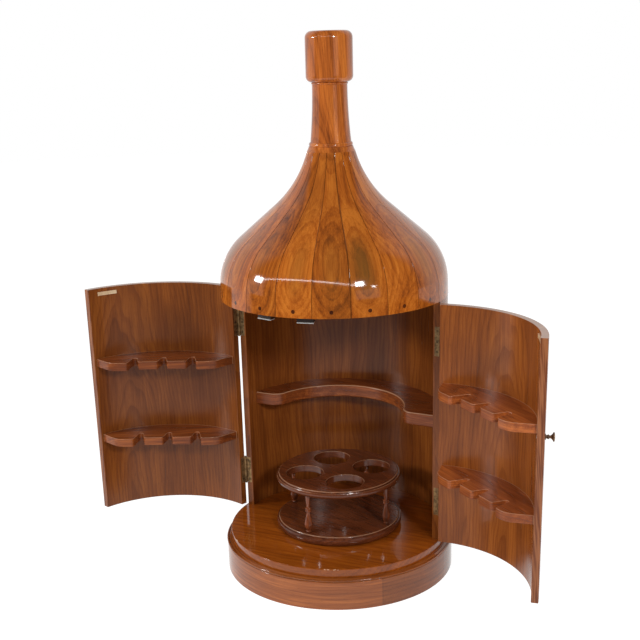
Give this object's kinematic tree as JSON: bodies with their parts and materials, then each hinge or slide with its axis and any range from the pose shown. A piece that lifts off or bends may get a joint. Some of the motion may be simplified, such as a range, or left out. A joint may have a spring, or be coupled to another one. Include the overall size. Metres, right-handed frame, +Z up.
{
  "type": "bar cabinet",
  "caption": "Bottle-shaped bar cabinet with a coopered dome, curved hinged doors carrying glass racks, a serpentine shelf and a revolving bottle stand.",
  "frame": {"origin": "centre of the underside of the base, on the floor", "axes": "+Z up; the front, where the doors meet when closed, faces -Y"},
  "size_m": [1.1993, 0.5684, 1.2751],
  "materials": {
    "dome_veneer": "high-gloss lacquered figured veneer, orange-brown",
    "neck_wood": "high-gloss lacquered turned wood",
    "stopper_wood": "high-gloss lacquered veneer",
    "collar_wood": "high-gloss lacquered turned wood",
    "plug_wood": "lacquered end-grain plug",
    "plinth_veneer": "high-gloss lacquered veneer",
    "plinth_bead": "high-gloss lacquered moulding",
    "deck_veneer": "high-gloss lacquered veneer",
    "shell_veneer": "high-gloss lacquered straight-grained veneer",
    "door_veneer": "high-gloss lacquered straight-grained veneer",
    "shelf_wood": "lacquered veneer",
    "rack_wood": "lacquered veneer",
    "stand_wood": "lacquered dark turned wood",
    "carcass_board": "unfinished board",
    "hinge_brass": "aged brass",
    "screw_brass": "aged brass",
    "strike_brass": "satin brass",
    "knob_bronze": "dark bronze",
    "catch_housing": "brown moulded housing",
    "pole_steel": "bright plated steel",
    "hidden_steel": "plain steel"
  },
  "bodies": {
    "case": {"base_board": "carcass_board", "plinth_ring": "plinth_veneer", "plinth_bead": "plinth_bead", "deck_board": "deck_veneer", "rear_shell": "shell_veneer", "shelf": "shelf_wood", "ceiling_board": "carcass_board", "dome_plugs": "plug_wood", "dome_screws": "hidden_steel", "crown_block": "carcass_board", "crown_dowel": "carcass_board", "collar": "collar_wood", "neck": "neck_wood", "stopper": "stopper_wood", "case_hinge_leaves": "hinge_brass", "hinge_pins": "hinge_brass", "case_screws": "screw_brass", "door_catches": "catch_housing", "catch_pole_plates": "pole_steel", "stand_pivot": "hidden_steel", "dome_stave_01": "dome_veneer", "dome_stave_02": "dome_veneer", "dome_stave_03": "dome_veneer", "dome_stave_04": "dome_veneer", "dome_stave_05": "dome_veneer", "dome_stave_06": "dome_veneer", "dome_stave_07": "dome_veneer", "dome_stave_08": "dome_veneer", "dome_stave_09": "dome_veneer", "dome_stave_10": "dome_veneer", "dome_stave_11": "dome_veneer", "dome_stave_12": "dome_veneer", "dome_stave_13": "dome_veneer", "dome_stave_14": "dome_veneer", "dome_stave_15": "dome_veneer", "dome_stave_16": "dome_veneer", "dome_stave_17": "dome_veneer", "dome_stave_18": "dome_veneer", "dome_stave_19": "dome_veneer", "dome_stave_20": "dome_veneer"},
    "left_door_leaf": {"left_door": "door_veneer", "left_upper_rack": "rack_wood", "left_lower_rack": "rack_wood", "left_strike_plate": "strike_brass", "left_door_hinge_leaves": "hinge_brass", "left_door_screws": "screw_brass"},
    "right_door_leaf": {"right_door": "door_veneer", "right_upper_rack": "rack_wood", "right_lower_rack": "rack_wood", "right_strike_plate": "strike_brass", "right_door_hinge_leaves": "hinge_brass", "right_door_screws": "screw_brass", "door_knob": "knob_bronze", "knob_screw": "hidden_steel"},
    "bottle_stand": {"stand_base": "stand_wood", "stand_top": "stand_wood", "stand_spindle_1": "stand_wood", "stand_spindle_2": "stand_wood", "stand_spindle_3": "stand_wood", "stand_spindle_4": "stand_wood"}
  },
  "joints": [
    {"name": "left_door_swing", "type": "hinge", "parent": "case", "child": "left_door_leaf", "pos_m": [-0.27, 0, 0.394], "axis": [0, 0, 1], "range_deg": [-55, 108.1]},
    {"name": "right_door_swing", "type": "hinge", "parent": "case", "child": "right_door_leaf", "pos_m": [0.27, 0, 0.394], "axis": [0, 0, -1], "range_deg": [-65, 100.1]},
    {"name": "bottle_stand_turn", "type": "hinge", "parent": "case", "child": "bottle_stand", "pos_m": [0, 0, 0.1], "axis": [0, 0, 1], "continuous": true}
  ]
}
